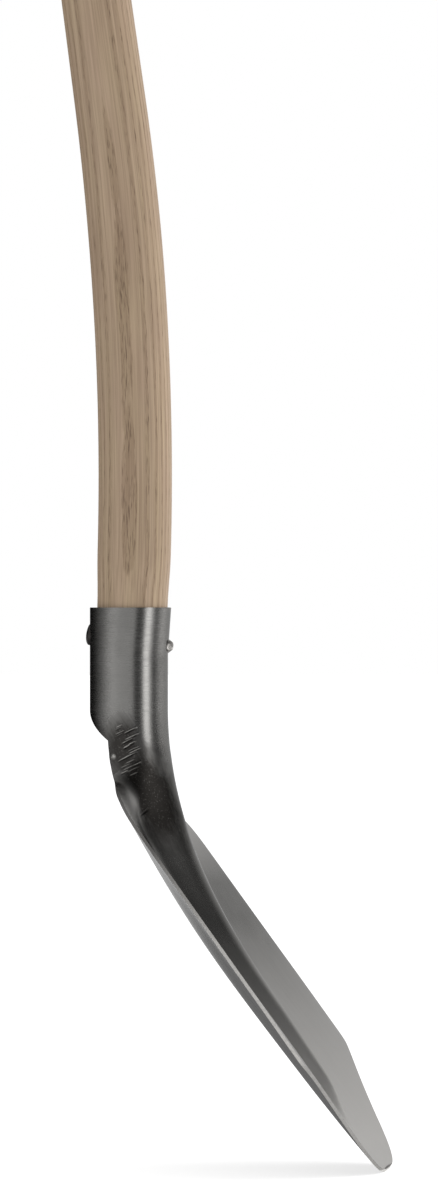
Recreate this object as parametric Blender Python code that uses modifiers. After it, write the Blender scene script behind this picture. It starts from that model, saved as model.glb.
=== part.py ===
"""Long handled pointed shovel: a pressed blade with an open-back socket, a bent ash handle and a rivet.

+Z runs up the socket's axis, +X points to the side that the blade scoops with, and Y lies across the blade.
X = 0 and Y = 0 are the socket's axis, and the blade's point touches Z = 0.
"""

from collections import namedtuple
from math import acos, asin, atan2, cos, exp, hypot, pi, radians, sin, tan

import bmesh
import bpy
from mathutils import Vector
from mathutils.geometry import interpolate_bezier

MM = 0.001
ACROSS = Vector((0, 1, 0))

# The steel sheet, and the clearance left between pieces that touch
SHEET = 1.8 * MM
GAP = 0.3 * MM

# The socket: the top of the sheet rolled into a tube, with a butt seam at the back
SOCKET_DIAMETER = 44.7 * MM
SEAM_LENGTH = 57 * MM
SEAM_WIDTH = 0.8 * MM
MOUTH_FLARE_LENGTH = 27 * MM

# The neck: below the seam the back opens, and the front bends over into the blade's ridge
OPENING_LENGTH = 16.5 * MM
NECK_LENGTH = 11.5 * MM
NECK_SINK = 1.9 * MM
SOFTENED_ABOVE_NECK = 9 * MM
SOFTENED_BELOW_NECK = 85 * MM
BEND_BELOW_MOUTH = 57 * MM
BEND_TOP_REACH = 64 * MM
BEND_FOOT_REACH = 71 * MM
BEND_ALONG_BLADE = 160 * MM

# The blade, in the slanted plane of its rims: lengths run up from the point, widths across
BLADE_LEAN = radians(35.5)
BLADE_LENGTH = 267.8 * MM
RIMS_BELOW_MOUTH = 97 * MM
POINT_DEPTH = 8.4 * MM
WIDTH_AT_SHOULDERS = 237 * MM
WIDTH_AT_CORNERS = 249 * MM
NECK_FILLET_WIDTH = 18 * MM
NECK_FILLET_DROP = 12 * MM
NECK_FILLET_REACH = 7 * MM
OPENING_OUT_WIDTH = 36 * MM
SHOULDER_SLOPE = radians(18)
SHOULDER_SINK = 4 * MM
SHOULDER_SINK_REACH = 40 * MM
SHOULDER_REACH = 45 * MM
SHOULDER_ROUNDING = 27 * MM
SIDE_TOP_DROP = 47 * MM
SIDE_REACH = 45 * MM
CORNER_HEIGHT = 75 * MM
CORNER_ROUNDING = 5 * MM
CORNER_REACH = 3 * MM
POINT_SLOPE_AT_CORNER = radians(34)
POINT_SLOPE_AT_NOSE = radians(48.65)
POINT_EDGE_REACH = 23.8 * MM
NOSE_HALF_WIDTH = 72.4 * MM
NOSE_HEIGHT = 25.2 * MM
NOSE_SIDE_REACH = 34 * MM
NOSE_FRONT_REACH = 28 * MM

# The dish between the rims, and the ridge that runs on from the neck and fades out before the point
DISH_DEPTH = 17.3 * MM
DISH_DEEPEST = 150 * MM
DISH_ABOVE_BLADE = 6 * MM
DISH_ROUNDNESS_ALONG = 0.6
DISH_FULLNESS_AT_POINT = 1.95
DISH_FULLNESS_ABOVE = 1.4
RIDGE_DEPTH = 4.9 * MM
RIDGE_HALF_WIDTH_AT_NECK = 21.5 * MM
RIDGE_HALF_WIDTH_AT_FADE = 7 * MM
RIDGE_SQUARENESS_AT_NECK = 3.2
RIDGE_SQUARENESS_AT_FADE = 2.2
RIDGE_FADE_TOP = 64 * MM
RIDGE_FADE_LENGTH = 44 * MM
RIDGE_FADE_SPREAD = -2 * MM

# The handle: straight in the socket, one long bend, and straight to its butt
HANDLE_LENGTH = 1300 * MM
HANDLE_DIAMETER = 42 * MM
HANDLE_TOP_DIAMETER = 39.2 * MM
HANDLE_CLEARANCE = 0.45 * MM
HANDLE_IN_SOCKET = 57 * MM
HANDLE_FOOT_CHAMFER = 2 * MM
HANDLE_TILT = radians(-2)
HANDLE_LEAN = radians(7.8)
HANDLE_BEND_RADIUS = 1600 * MM
HANDLE_BEND_START = 76 * MM
SWELL_ABOVE_MOUTH = 32 * MM
SLIMMING_START = 170 * MM
SLIMMING_END = 420 * MM
BUTT_ROUNDING = 12 * MM

# The rivet through socket and handle: domed head at the back, hammered tail at the front
RIVET_BELOW_MOUTH = 18.6 * MM
RIVET_TILT = radians(9)
RIVET_SHANK_RADIUS = 3 * MM
RIVET_HEAD_RADIUS = 6.5 * MM
RIVET_HEAD_HEIGHT = 2.4 * MM
RIVET_TAIL_RADIUS = 4 * MM
RIVET_TAIL_HEIGHT = 3 * MM

# How finely the solids are divided
SHEET_COLUMNS = 20
RIDGE_COLUMNS = 11
RIDGE_COLUMNS_SPAN = 1.7
SHOULDER_FAN = 0.2
POINT_FAN = 0.06
SOCKET_ROWS = 3
OPENING_ROWS = 6
NECK_ROWS = 3
ROW_FINENESS = 4
BASE_AVERAGING = 8
SOFTENING_ROWS = 8
FRONT_LINE_STEPS = 12
BEND_STEPS = 48
RIDGE_STEPS = 24
HANDLE_BEVEL_RESOLUTION = 12
HANDLE_RINGS = 40
HANDLE_RINGS_CROWDING = 1.4
SWELL_RINGS = 4
BUTT_RINGS = 5
ROD_STEPS = 24
SEAT_STEPS = 64
DOME_STEPS = 5

# What follows from the sizes above
SOCKET_RADIUS = (SOCKET_DIAMETER - SHEET) / 2
BORE_RADIUS = SOCKET_DIAMETER / 2 - SHEET
HANDLE_MOUTH_RADIUS = BORE_RADIUS - HANDLE_CLEARANCE
HANDLE_OFF_AXIS = HANDLE_IN_SOCKET * tan(-HANDLE_TILT)
HANDLE_OFF_BORE = (HANDLE_IN_SOCKET - MOUTH_FLARE_LENGTH) * tan(-HANDLE_TILT)
TENON_RADIUS = BORE_RADIUS - GAP - HANDLE_OFF_BORE
MOUTH_FLARE = HANDLE_MOUTH_RADIUS + HANDLE_OFF_AXIS + GAP - BORE_RADIUS
BLADE_UP = Vector((-sin(BLADE_LEAN), 0, cos(BLADE_LEAN)))
BLADE_FRONT = Vector((cos(BLADE_LEAN), 0, sin(BLADE_LEAN)))
RIMS_FOOT = Vector((BLADE_LENGTH * sin(BLADE_LEAN), 0, (POINT_DEPTH + SHEET / 2) * sin(BLADE_LEAN)))
MOUTH_HEIGHT = RIMS_FOOT.z + BLADE_LENGTH * cos(BLADE_LEAN) + RIMS_BELOW_MOUTH

parts = bpy.data.collections.new("shovel")
cutters = bpy.data.collections.new("cutters")


def ease(share):
    """0 to 1 along a cosine, level at both ends."""
    return 0.5 - 0.5 * cos(pi * min(max(share, 0), 1))


def add_object(name, bm, collection):
    mesh = bpy.data.meshes.new(name)
    bm.to_mesh(mesh)
    bm.free()
    obj = bpy.data.objects.new(name, mesh)
    collection.objects.link(obj)
    if collection == cutters:
        obj.hide_render = True
        obj.display_type = "WIRE"
    return obj


def give_material(obj, name, colour, roughness, metallic):
    material = bpy.data.materials.new(name)
    material.use_nodes = True
    shader = material.node_tree.nodes["Principled BSDF"]
    shader.inputs["Base Color"].default_value = (*colour, 1)
    shader.inputs["Roughness"].default_value = roughness
    shader.inputs["Metallic"].default_value = metallic
    obj.data.materials.append(material)


def add_boolean(obj, other, operation):
    modifier = obj.modifiers.new(operation.lower(), "BOOLEAN")
    modifier.operation = operation
    modifier.object = other


def shade_smooth(obj, sharp_from):
    obj.data.shade_smooth()
    obj.data.set_sharp_from_angle(angle=sharp_from)


# The sheet is worked out along its middle surface. A row of it starts on the front line, which runs down
# the socket, round the bend and down the ridge, and ends at the sheet's edge: the seam, the neck or the rim.
# Rows are worked out finely, so that they can be averaged, and every fourth of them is kept.

Station = namedtuple("Station", "place lean base")
Row = namedtuple("Row", "station wrap flare opened edge")
Knot = namedtuple("Knot", "place turn reach_back reach_on steps")


def on_blade(up, across, out):
    """The point that far up the blade, across it, and out from the plane of its rims towards the front."""
    return RIMS_FOOT + BLADE_UP * up + ACROSS * across + BLADE_FRONT * out


def square_to(lean):
    """The direction square to a line that leans back by that angle, towards the front."""
    return Vector((cos(lean), 0, sin(lean)))


def dish_depth(up):
    """Depth of the dish's middle under the rims: none at the neck, most half way, less at the point."""
    if up < DISH_DEEPEST:
        share = sin(pi / 2 * max(up, 0) / DISH_DEEPEST)
        return POINT_DEPTH + (DISH_DEPTH - POINT_DEPTH) * share**DISH_ROUNDNESS_ALONG
    above = (up - DISH_DEEPEST) / (BLADE_LENGTH + DISH_ABOVE_BLADE - DISH_DEEPEST)
    return DISH_DEPTH * max(cos(pi / 2 * min(above, 1)), 0) ** DISH_ROUNDNESS_ALONG


def ridge_fade(up):
    """0 while the ridge runs straight, rising to 1 where it has sunk into the dish near the point."""
    return ease((RIDGE_FADE_TOP - up) / RIDGE_FADE_LENGTH)


def dish(up, across):
    """Height of the dished sheet over the plane of the rims, without the ridge."""
    share = min(abs(across) / (WIDTH_AT_CORNERS / 2), 1)
    fullness = DISH_FULLNESS_AT_POINT
    fullness += (DISH_FULLNESS_ABOVE - DISH_FULLNESS_AT_POINT) * ease(up / CORNER_HEIGHT - 1)
    from_neck = hypot(max(abs(across) - NECK_HALF_WIDTH, 0), NECK.base - up)
    sink = SHOULDER_SINK * (1 - ease(from_neck / SHOULDER_SINK_REACH))
    return -dish_depth(up) * (1 - share * share) ** fullness - sink


def front_line():
    """Stations down the front line: its place, its lean, and where its row would meet the dish's middle."""
    mouth = Vector((SOCKET_RADIUS, 0, MOUTH_HEIGHT))
    bend_top = mouth - Vector((0, 0, BEND_BELOW_MOUTH))
    foot_up = BLADE_LENGTH - BEND_ALONG_BLADE
    bend_foot = on_blade(foot_up, 0, -RIDGE_DEPTH)
    leaving = bend_top - Vector((0, 0, BEND_TOP_REACH))
    arriving = bend_foot + BLADE_UP * BEND_FOOT_REACH
    line = [mouth.lerp(bend_top, step / FRONT_LINE_STEPS) for step in range(FRONT_LINE_STEPS)]
    line += interpolate_bezier(bend_top, leaving, arriving, bend_foot, BEND_STEPS + 1)
    for step in range(RIDGE_STEPS - 1, -1, -1):
        up = foot_up * step / RIDGE_STEPS
        ridge = (POINT_DEPTH - RIDGE_DEPTH) * step / RIDGE_STEPS - POINT_DEPTH
        line.append(on_blade(up, 0, ridge - (dish_depth(up) + ridge) * ridge_fade(up)))
    stations = []
    for before, place, after in zip(line[:1] + line, line, line[1:] + line[-1:]):
        lean = asin((after.x - before.x) / (after - before).length)
        up, out = (place - RIMS_FOOT).dot(BLADE_UP), (place - RIMS_FOOT).dot(BLADE_FRONT)
        turn = tan(BLADE_LEAN - lean)
        stations.append(Station(place, lean, up + (out + dish_depth(up + out * turn)) * turn))
    stations[-1] = stations[-1]._replace(base=0)
    return stations


STATIONS = front_line()


def station_at(measure, wanted):
    """The station where measure, which falls down the line, reaches wanted."""
    for above, below in zip(STATIONS, STATIONS[1:]):
        if measure(below) <= wanted:
            share = min(max((measure(above) - wanted) / (measure(above) - measure(below)), 0), 1)
            return Station(
                above.place.lerp(below.place, share),
                above.lean + (below.lean - above.lean) * share,
                above.base + (below.base - above.base) * share,
            )
    return STATIONS[-1]


def station_below_mouth(depth):
    return station_at(lambda station: station.place.z, MOUTH_HEIGHT - depth)


# The neck's edges end just behind the plane of the rims, which sets how far round the sheet wraps there
NECK = station_below_mouth(SEAM_LENGTH + OPENING_LENGTH + NECK_LENGTH)
NECK_OUT = (NECK.place - RIMS_FOOT).dot(BLADE_FRONT) + NECK_SINK
NECK_WRAP = acos(1 - NECK_OUT / (SOCKET_RADIUS * cos(BLADE_LEAN - NECK.lean)))
NECK_HALF_WIDTH = SOCKET_RADIUS * sin(NECK_WRAP)
SEAM_WRAP = pi - asin(SEAM_WIDTH / 2 / SOCKET_RADIUS)


def mouth_flare(depth):
    """How far the socket's front half is drawn forward, that far below the mouth, for the tilted handle."""
    return MOUTH_FLARE * max(1 - depth / MOUTH_FLARE_LENGTH, 0)


def socket_rows():
    """Rows of the rolled tube from its mouth down to the neck, where the seam has opened."""
    rows = []
    straight = SEAM_LENGTH - MOUTH_FLARE_LENGTH
    steps = SOCKET_ROWS * ROW_FINENESS
    depths = [MOUTH_FLARE_LENGTH * step / steps for step in range(steps)]
    depths += [MOUTH_FLARE_LENGTH + straight * step / steps for step in range(steps + 1)]
    for depth in depths:
        rows.append(Row(station_below_mouth(depth), SEAM_WRAP, mouth_flare(depth), 0, None))
    steps = OPENING_ROWS * ROW_FINENESS
    for step in range(1, steps + 1):
        wrap = SEAM_WRAP + (NECK_WRAP - SEAM_WRAP) * step / steps
        rows.append(Row(station_below_mouth(SEAM_LENGTH + OPENING_LENGTH * step / steps), wrap, 0, 0, None))
    steps = NECK_ROWS * ROW_FINENESS
    for step in range(1, steps + 1):
        depth = SEAM_LENGTH + OPENING_LENGTH + NECK_LENGTH * step / steps
        rows.append(Row(station_below_mouth(depth), NECK_WRAP, 0, 0, None))
    return rows


def heading(turn):
    """The direction across and up the blade that is turned that far down from straight outwards."""
    return Vector((cos(turn), -sin(turn)))


def blade_outline():
    """Half the blade's outline from the neck's edge to near the point, as points (across, up)."""
    half_top, half_foot = WIDTH_AT_SHOULDERS / 2, WIDTH_AT_CORNERS / 2
    side_top = BLADE_LENGTH - SIDE_TOP_DROP
    side = atan2(side_top - CORNER_HEIGHT, half_foot - half_top)
    from_corner, to_nose = pi - POINT_SLOPE_AT_CORNER, pi - POINT_SLOPE_AT_NOSE
    corner = Vector((half_foot, CORNER_HEIGHT))
    above_corner = corner - heading(side) * CORNER_ROUNDING
    below_corner = corner + heading(from_corner) * CORNER_ROUNDING
    fillet_foot = Vector((NECK_HALF_WIDTH + NECK_FILLET_WIDTH, NECK.base - NECK_FILLET_DROP))
    knots = [
        Knot(Vector((NECK_HALF_WIDTH, NECK.base)), pi / 2, 0, NECK_FILLET_REACH, 4),
        Knot(fillet_foot, SHOULDER_SLOPE, NECK_FILLET_REACH, SHOULDER_REACH, 9),
        Knot(Vector((half_top, side_top)), side, SHOULDER_ROUNDING, SIDE_REACH, 9),
        Knot(above_corner, side, SIDE_REACH, CORNER_REACH, 2),
        Knot(below_corner, from_corner, CORNER_REACH, POINT_EDGE_REACH, 5),
        Knot(Vector((NOSE_HALF_WIDTH, NOSE_HEIGHT)), to_nose, POINT_EDGE_REACH, NOSE_SIDE_REACH, 6),
        Knot(Vector((0, 0)), pi, NOSE_FRONT_REACH, 0, 0),
    ]
    outline = []
    for here, after in zip(knots, knots[1:]):
        leaving = here.place + heading(here.turn) * here.reach_on
        arriving = after.place - heading(after.turn) * after.reach_back
        stretch = [point.to_3d() for point in (here.place, leaving, arriving, after.place)]
        outline += interpolate_bezier(*stretch, here.steps * ROW_FINENESS + 1)[:-1]
    return outline[: 1 - ROW_FINENESS]


def averaged(values, reach):
    """Each value averaged with its neighbours up to that far away, and with fewer near the ends."""
    smooth = []
    for place in range(len(values)):
        near = min(reach, place, len(values) - 1 - place)
        smooth.append(sum(values[place - near : place + near + 1]) / (2 * near + 1))
    return smooth


def blade_rows():
    """Rows of the blade, each ending on the outline. They fan out to the shoulders and to the point."""
    outline = blade_outline()
    bases = [NECK.base]
    for before, edge, after in zip(outline, outline[1:], outline[2:]):
        run = (after - before).normalized()
        bases.append(edge.y - (SHOULDER_FAN if run.x > 0 else POINT_FAN) * edge.x * run.x)
    rows = []
    for edge, base in list(zip(outline, averaged(bases + [0], BASE_AVERAGING)))[1:]:
        opened = ease((edge.x - NECK_HALF_WIDTH) / OPENING_OUT_WIDTH) if edge.y > CORNER_HEIGHT else 1
        station = station_at(lambda station: station.base, base)
        rows.append(Row(station, NECK_WRAP, 0, opened, (edge.x, edge.y)))
    return rows


def around_socket(row, share):
    """A point of the rolled part of a row, from the front line at 0 to the edge at 1."""
    turn = row.wrap * share
    drawn = row.flare * (1 - min(cos(turn), 0) ** 2)
    out = SOCKET_RADIUS * (cos(turn) - 1) + drawn
    return row.station.place + square_to(row.station.lean) * out + ACROSS * (SOCKET_RADIUS * sin(turn))


def across_blade(row, share):
    """A point of the spread part of a row: the dish, with the ridge standing on its middle."""
    base = row.station.base
    edge_across, edge_up = row.edge
    top = min(max((base - RIDGE_FADE_TOP) / (NECK.base - RIDGE_FADE_TOP), 0), 1)
    half = RIDGE_HALF_WIDTH_AT_FADE + (RIDGE_HALF_WIDTH_AT_NECK - RIDGE_HALF_WIDTH_AT_FADE) * top
    half += RIDGE_FADE_SPREAD * ridge_fade(base)
    ridge_share = RIDGE_COLUMNS / SHEET_COLUMNS
    zone = min(RIDGE_COLUMNS_SPAN * half, ridge_share * edge_across)
    zone += (ridge_share * edge_across - zone) * (1 - top) ** 2
    if share < ridge_share:
        across = zone * share / ridge_share
    else:
        across = zone + (edge_across - zone) * (share - ridge_share) / (1 - ridge_share)
    up = base + (edge_up - base) * (across / edge_across) ** 2
    squareness = RIDGE_SQUARENESS_AT_FADE + (RIDGE_SQUARENESS_AT_NECK - RIDGE_SQUARENESS_AT_FADE) * top
    ridge = exp(-((across / half) ** squareness))
    middle = on_blade(base, 0, dish(base, 0))
    return on_blade(up, across, dish(up, across)) + (row.station.place - middle) * ridge


def sheet_point(row, share):
    if row.opened == 0:
        return around_socket(row, share)
    if row.opened == 1:
        return across_blade(row, share)
    return around_socket(row, share).lerp(across_blade(row, share), row.opened)


def softened(points, rows):
    """A column's points, averaged along it near the neck, where the tube is drawn smoothly into the blade."""
    smooth = []
    for place, row in enumerate(rows):
        from_neck = NECK.base - row.station.base
        share = from_neck / (SOFTENED_BELOW_NECK if from_neck > 0 else SOFTENED_ABOVE_NECK)
        reach = SOFTENING_ROWS * max(1 - share * share, 0)
        near = min(round(3 * reach), place, len(points) - 1 - place)
        weights = [exp(-((step / reach) ** 2) / 2) if near else 1 for step in range(-near, near + 1)]
        total = sum((points[place - near + step] * weight for step, weight in enumerate(weights)), Vector())
        smooth.append(total / sum(weights))
    return smooth


def make_blade():
    """Half the sheet as a grid laid on its rows, then mirrored and given its thickness."""
    rows = socket_rows() + blade_rows()
    columns = []
    for step in range(SHEET_COLUMNS + 1):
        column = softened([sheet_point(row, step / SHEET_COLUMNS) for row in rows], rows)
        columns.append(column[::ROW_FINENESS])
    steps = len(columns[0]) - 1
    bm = bmesh.new()
    bmesh.ops.create_grid(bm, x_segments=SHEET_COLUMNS, y_segments=steps, size=0.5)
    for vert in bm.verts:
        column = round((vert.co.x + 0.5) * SHEET_COLUMNS)
        vert.co = columns[column][round((vert.co.y + 0.5) * steps)]
        if column == 0:
            vert.co.y = 0
    obj = add_object("blade", bm, parts)
    mirror = obj.modifiers.new("mirror", "MIRROR")
    mirror.use_axis = (False, True, False)
    mirror.merge_threshold = 0.01 * MM
    solidify = obj.modifiers.new("sheet", "SOLIDIFY")
    solidify.thickness = SHEET
    solidify.offset = 0
    solidify.use_even_offset = True
    give_material(obj, "pressed steel", (0.36, 0.35, 0.34), 0.38, 1.0)
    shade_smooth(obj, radians(60))
    return obj


def along_lean(lean):
    """The direction up a line that leans back by that angle."""
    return Vector((-sin(lean), 0, cos(lean)))


def handle_place(along):
    """The handle's centre that far up from its foot: straight, then along an arc, then straight again."""
    bend = min(max(along - HANDLE_BEND_START, 0) / HANDLE_BEND_RADIUS, HANDLE_LEAN - HANDLE_TILT)
    lean = HANDLE_TILT + bend
    place = Vector((0, 0, MOUTH_HEIGHT - HANDLE_IN_SOCKET))
    place += along_lean(HANDLE_TILT) * min(along, HANDLE_BEND_START)
    place += (square_to(lean) - square_to(HANDLE_TILT)) * HANDLE_BEND_RADIUS
    return place + along_lean(lean) * max(along - HANDLE_BEND_START - bend * HANDLE_BEND_RADIUS, 0)


def handle_radius(along):
    """The handle's radius that far up from its foot, without the rounding of its butt."""
    above_mouth = along - HANDLE_IN_SOCKET
    if along < HANDLE_FOOT_CHAMFER:
        return TENON_RADIUS - HANDLE_FOOT_CHAMFER + along
    if above_mouth < 0:
        drawn_in = min(-above_mouth / MOUTH_FLARE_LENGTH, 1)
        return HANDLE_MOUTH_RADIUS + (TENON_RADIUS - HANDLE_MOUTH_RADIUS) * drawn_in
    swell = ease(above_mouth / SWELL_ABOVE_MOUTH)
    slimming = ease((above_mouth - SLIMMING_START) / (SLIMMING_END - SLIMMING_START))
    swollen = HANDLE_MOUTH_RADIUS + (HANDLE_DIAMETER / 2 - HANDLE_MOUTH_RADIUS) * swell
    return swollen + (HANDLE_TOP_DIAMETER - HANDLE_DIAMETER) / 2 * slimming


def handle_rings():
    """Places along the handle and its radius there, from the foot to the rim of the butt's flat."""
    places = [0, HANDLE_FOOT_CHAMFER, HANDLE_IN_SOCKET - MOUTH_FLARE_LENGTH]
    places += [HANDLE_IN_SOCKET + SWELL_ABOVE_MOUTH * step / SWELL_RINGS for step in range(SWELL_RINGS)]
    first, last = HANDLE_IN_SOCKET + SWELL_ABOVE_MOUTH, HANDLE_LENGTH - BUTT_ROUNDING
    for step in range(HANDLE_RINGS):
        places.append(first + (last - first) * (step / HANDLE_RINGS) ** HANDLE_RINGS_CROWDING)
    rings = [(along, handle_radius(along)) for along in places]
    for step in range(BUTT_RINGS + 1):
        turn = pi / 2 * step / BUTT_RINGS
        narrower = BUTT_ROUNDING * (1 - cos(turn))
        rings.append((last + BUTT_ROUNDING * sin(turn), handle_radius(last) - narrower))
    return rings


def make_handle():
    """A curve with a bevel along the handle's centre, whose points set its thickness, made into a mesh."""
    rings = handle_rings()
    curve = bpy.data.curves.new("handle line", "CURVE")
    curve.dimensions = "3D"
    curve.bevel_depth = HANDLE_DIAMETER / 2
    curve.bevel_resolution = HANDLE_BEVEL_RESOLUTION
    curve.use_fill_caps = True
    spline = curve.splines.new("POLY")
    spline.points.add(len(rings) - 1)
    for point, (along, radius) in zip(spline.points, rings):
        point.co = (*handle_place(along), 1)
        point.radius = radius / curve.bevel_depth
    line = bpy.data.objects.new("handle line", curve)
    parts.objects.link(line)
    bpy.context.view_layer.update()
    solid = bpy.data.meshes.new_from_object(line.evaluated_get(bpy.context.evaluated_depsgraph_get()))
    bm = bmesh.new()
    bm.from_mesh(solid)
    bmesh.ops.remove_doubles(bm, verts=bm.verts, dist=0.01 * MM)
    obj = add_object("handle", bm, parts)
    obj.matrix_world = line.matrix_world
    bpy.data.objects.remove(line)
    bpy.data.meshes.remove(solid)
    give_material(obj, "ash", (0.42, 0.31, 0.21), 0.55, 0.0)
    shade_smooth(obj, radians(50))
    return obj


def place_on_rivet_axis(obj):
    """The rivet's own +Z runs from the back of the socket to its front, and down."""
    obj.location = (0, 0, MOUTH_HEIGHT - RIVET_BELOW_MOUTH)
    obj.rotation_euler = (0, pi / 2 + RIVET_TILT, 0)


def add_rod(name, radius, length, steps):
    """A helper cylinder about its own Z, centred on its origin."""
    bm = bmesh.new()
    bmesh.ops.create_cone(bm, cap_ends=True, segments=steps, radius1=radius, radius2=radius, depth=length)
    return add_object(name, bm, cutters)


def add_profile(bm, points):
    """A chain of edges through points of the XZ plane."""
    verts = [bm.verts.new((across, 0, along)) for across, along in points]
    for start, end in zip(verts, verts[1:]):
        bm.edges.new((start, end))


def make_rivet():
    """Two turned heads, cut to sit on the socket, and joined to the shank that runs through it."""
    tube = SOCKET_DIAMETER / 2
    inside = tube - RIVET_HEAD_RADIUS
    turns = [pi / 2 * step / DOME_STEPS for step in range(DOME_STEPS + 1)]
    bm = bmesh.new()
    tail = [(RIVET_TAIL_RADIUS * cos(turn), tube + RIVET_TAIL_HEIGHT * sin(turn)) for turn in turns]
    add_profile(bm, tail[::-1] + [(RIVET_TAIL_RADIUS, inside), (0, inside)])
    head = [(RIVET_HEAD_RADIUS * cos(turn), -tube - RIVET_HEAD_HEIGHT * sin(turn)) for turn in turns]
    add_profile(bm, [(0, -inside), (RIVET_HEAD_RADIUS, -inside)] + head)
    obj = add_object("rivet", bm, parts)
    screw = obj.modifiers.new("turned", "SCREW")
    screw.steps = screw.render_steps = ROD_STEPS
    screw.use_merge_vertices = True
    screw.merge_threshold = 0.01 * MM
    place_on_rivet_axis(obj)

    flare = mouth_flare(RIVET_BELOW_MOUTH)
    seat = add_rod("rivet_seat", tube + flare / 2 + GAP, 2 * SOCKET_DIAMETER, SEAT_STEPS)
    seat.location = (flare / 2, 0, MOUTH_HEIGHT - RIVET_BELOW_MOUTH)
    shank = add_rod("rivet_shank", RIVET_SHANK_RADIUS, SOCKET_DIAMETER + RIVET_HEAD_HEIGHT, ROD_STEPS)
    place_on_rivet_axis(shank)
    add_boolean(obj, seat, "DIFFERENCE")
    add_boolean(obj, shank, "UNION")
    give_material(obj, "rivet steel", (0.16, 0.15, 0.14), 0.5, 1.0)
    shade_smooth(obj, radians(40))
    return obj


for old in list(bpy.data.objects):
    bpy.data.objects.remove(old)
for collection in (parts, cutters):
    bpy.context.scene.collection.children.link(collection)

blade = make_blade()
handle = make_handle()
rivet = make_rivet()

rivet_hole = add_rod("rivet_hole", RIVET_SHANK_RADIUS + GAP, 2 * SOCKET_DIAMETER, ROD_STEPS)
place_on_rivet_axis(rivet_hole)
add_boolean(blade, rivet_hole, "DIFFERENCE")
add_boolean(handle, rivet_hole, "DIFFERENCE")
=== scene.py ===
"""A long handled shovel: a pressed steel blade with an open-back socket, a bent ash handle and a rivet.

+Z runs up the socket's axis, +X points to the side that the blade scoops with, and Y lies across the blade.
Lengths are in metres. The blade's rounded nose touches the floor at Z = 0.
"""

from collections import namedtuple
from math import acos, asin, atan2, cos, exp, hypot, pi, radians, sin, tan
from random import Random

import bmesh
import bpy
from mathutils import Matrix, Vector
from mathutils.geometry import interpolate_bezier


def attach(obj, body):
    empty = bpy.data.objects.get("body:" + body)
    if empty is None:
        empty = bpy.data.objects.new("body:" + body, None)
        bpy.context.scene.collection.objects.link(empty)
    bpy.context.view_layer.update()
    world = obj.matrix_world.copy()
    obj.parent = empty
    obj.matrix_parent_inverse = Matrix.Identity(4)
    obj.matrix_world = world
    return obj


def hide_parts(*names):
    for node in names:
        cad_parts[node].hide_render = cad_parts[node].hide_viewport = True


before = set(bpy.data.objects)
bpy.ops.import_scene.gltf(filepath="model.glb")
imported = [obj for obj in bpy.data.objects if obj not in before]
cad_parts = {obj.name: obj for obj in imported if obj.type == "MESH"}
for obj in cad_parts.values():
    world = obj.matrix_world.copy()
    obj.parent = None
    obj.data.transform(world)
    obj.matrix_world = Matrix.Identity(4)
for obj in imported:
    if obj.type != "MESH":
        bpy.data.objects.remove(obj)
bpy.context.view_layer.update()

# The blade is one sheet of 1.8 mm carbon steel, pressed hot. Its top is rolled into the socket, with a butt
# seam at the back that opens into the hollow neck. Below, it spreads into a dished blade with a ridge on it.

MM = 0.001
ACROSS = Vector((0, 1, 0))
MERGED_WITHIN = 0.01 * MM
SHEET = 1.8 * MM
SOCKET_DIAMETER = 44.7 * MM
SOCKET_RADIUS = (SOCKET_DIAMETER - SHEET) / 2
SEAM_LENGTH = 57 * MM
SEAM_WIDTH = 0.8 * MM
MOUTH_FLARE = 1.84 * MM
MOUTH_FLARE_LENGTH = 27 * MM
OPENING_LENGTH = 16.5 * MM
NECK_LENGTH = 11.5 * MM
NECK_SINK = 1.9 * MM
BEND_BELOW_MOUTH = 57 * MM
BEND_TOP_REACH = 64 * MM
BEND_FOOT_REACH = 71 * MM
BEND_ALONG_BLADE = 160 * MM

BLADE_LEAN = radians(35.5)
BLADE_LENGTH = 267.8 * MM
RIMS_BELOW_MOUTH = 97 * MM
POINT_DEPTH = 8.4 * MM
WIDTH_AT_SHOULDERS = 237 * MM
WIDTH_AT_CORNERS = 249 * MM
NECK_FILLET_WIDTH = 18 * MM
NECK_FILLET_DROP = 12 * MM
NECK_FILLET_REACH = 7 * MM
SOFTENED_ABOVE_NECK = 9 * MM
SOFTENED_BELOW_NECK = 85 * MM
OPENING_OUT_WIDTH = 36 * MM
SHOULDER_SLOPE = radians(18)
SHOULDER_SINK = 4 * MM
SHOULDER_SINK_REACH = 40 * MM
SHOULDER_REACH = 45 * MM
SHOULDER_ROUNDING = 27 * MM
SIDE_TOP_DROP = 47 * MM
SIDE_REACH = 45 * MM
CORNER_HEIGHT = 75 * MM
CORNER_ROUNDING = 5 * MM
CORNER_REACH = 3 * MM
POINT_SLOPE_AT_CORNER = radians(34)
POINT_SLOPE_AT_NOSE = radians(48.65)
POINT_EDGE_REACH = 23.8 * MM
NOSE_HALF_WIDTH = 72.4 * MM
NOSE_HEIGHT = 25.2 * MM
NOSE_SIDE_REACH = 34 * MM
NOSE_FRONT_REACH = 28 * MM

DISH_DEPTH = 17.3 * MM
DISH_DEEPEST = 150 * MM
DISH_ABOVE_BLADE = 6 * MM
DISH_ROUNDNESS_ALONG = 0.6
DISH_FULLNESS_AT_POINT = 1.95
DISH_FULLNESS_ABOVE = 1.4
RIDGE_DEPTH = 4.9 * MM
RIDGE_HALF_WIDTH_AT_NECK = 21.5 * MM
RIDGE_HALF_WIDTH_AT_FADE = 7 * MM
RIDGE_SQUARENESS_AT_NECK = 3.2
RIDGE_SQUARENESS_AT_FADE = 2.2
RIDGE_FADE_TOP = 64 * MM
RIDGE_FADE_LENGTH = 44 * MM
RIDGE_FADE_SPREAD = -2 * MM

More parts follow.
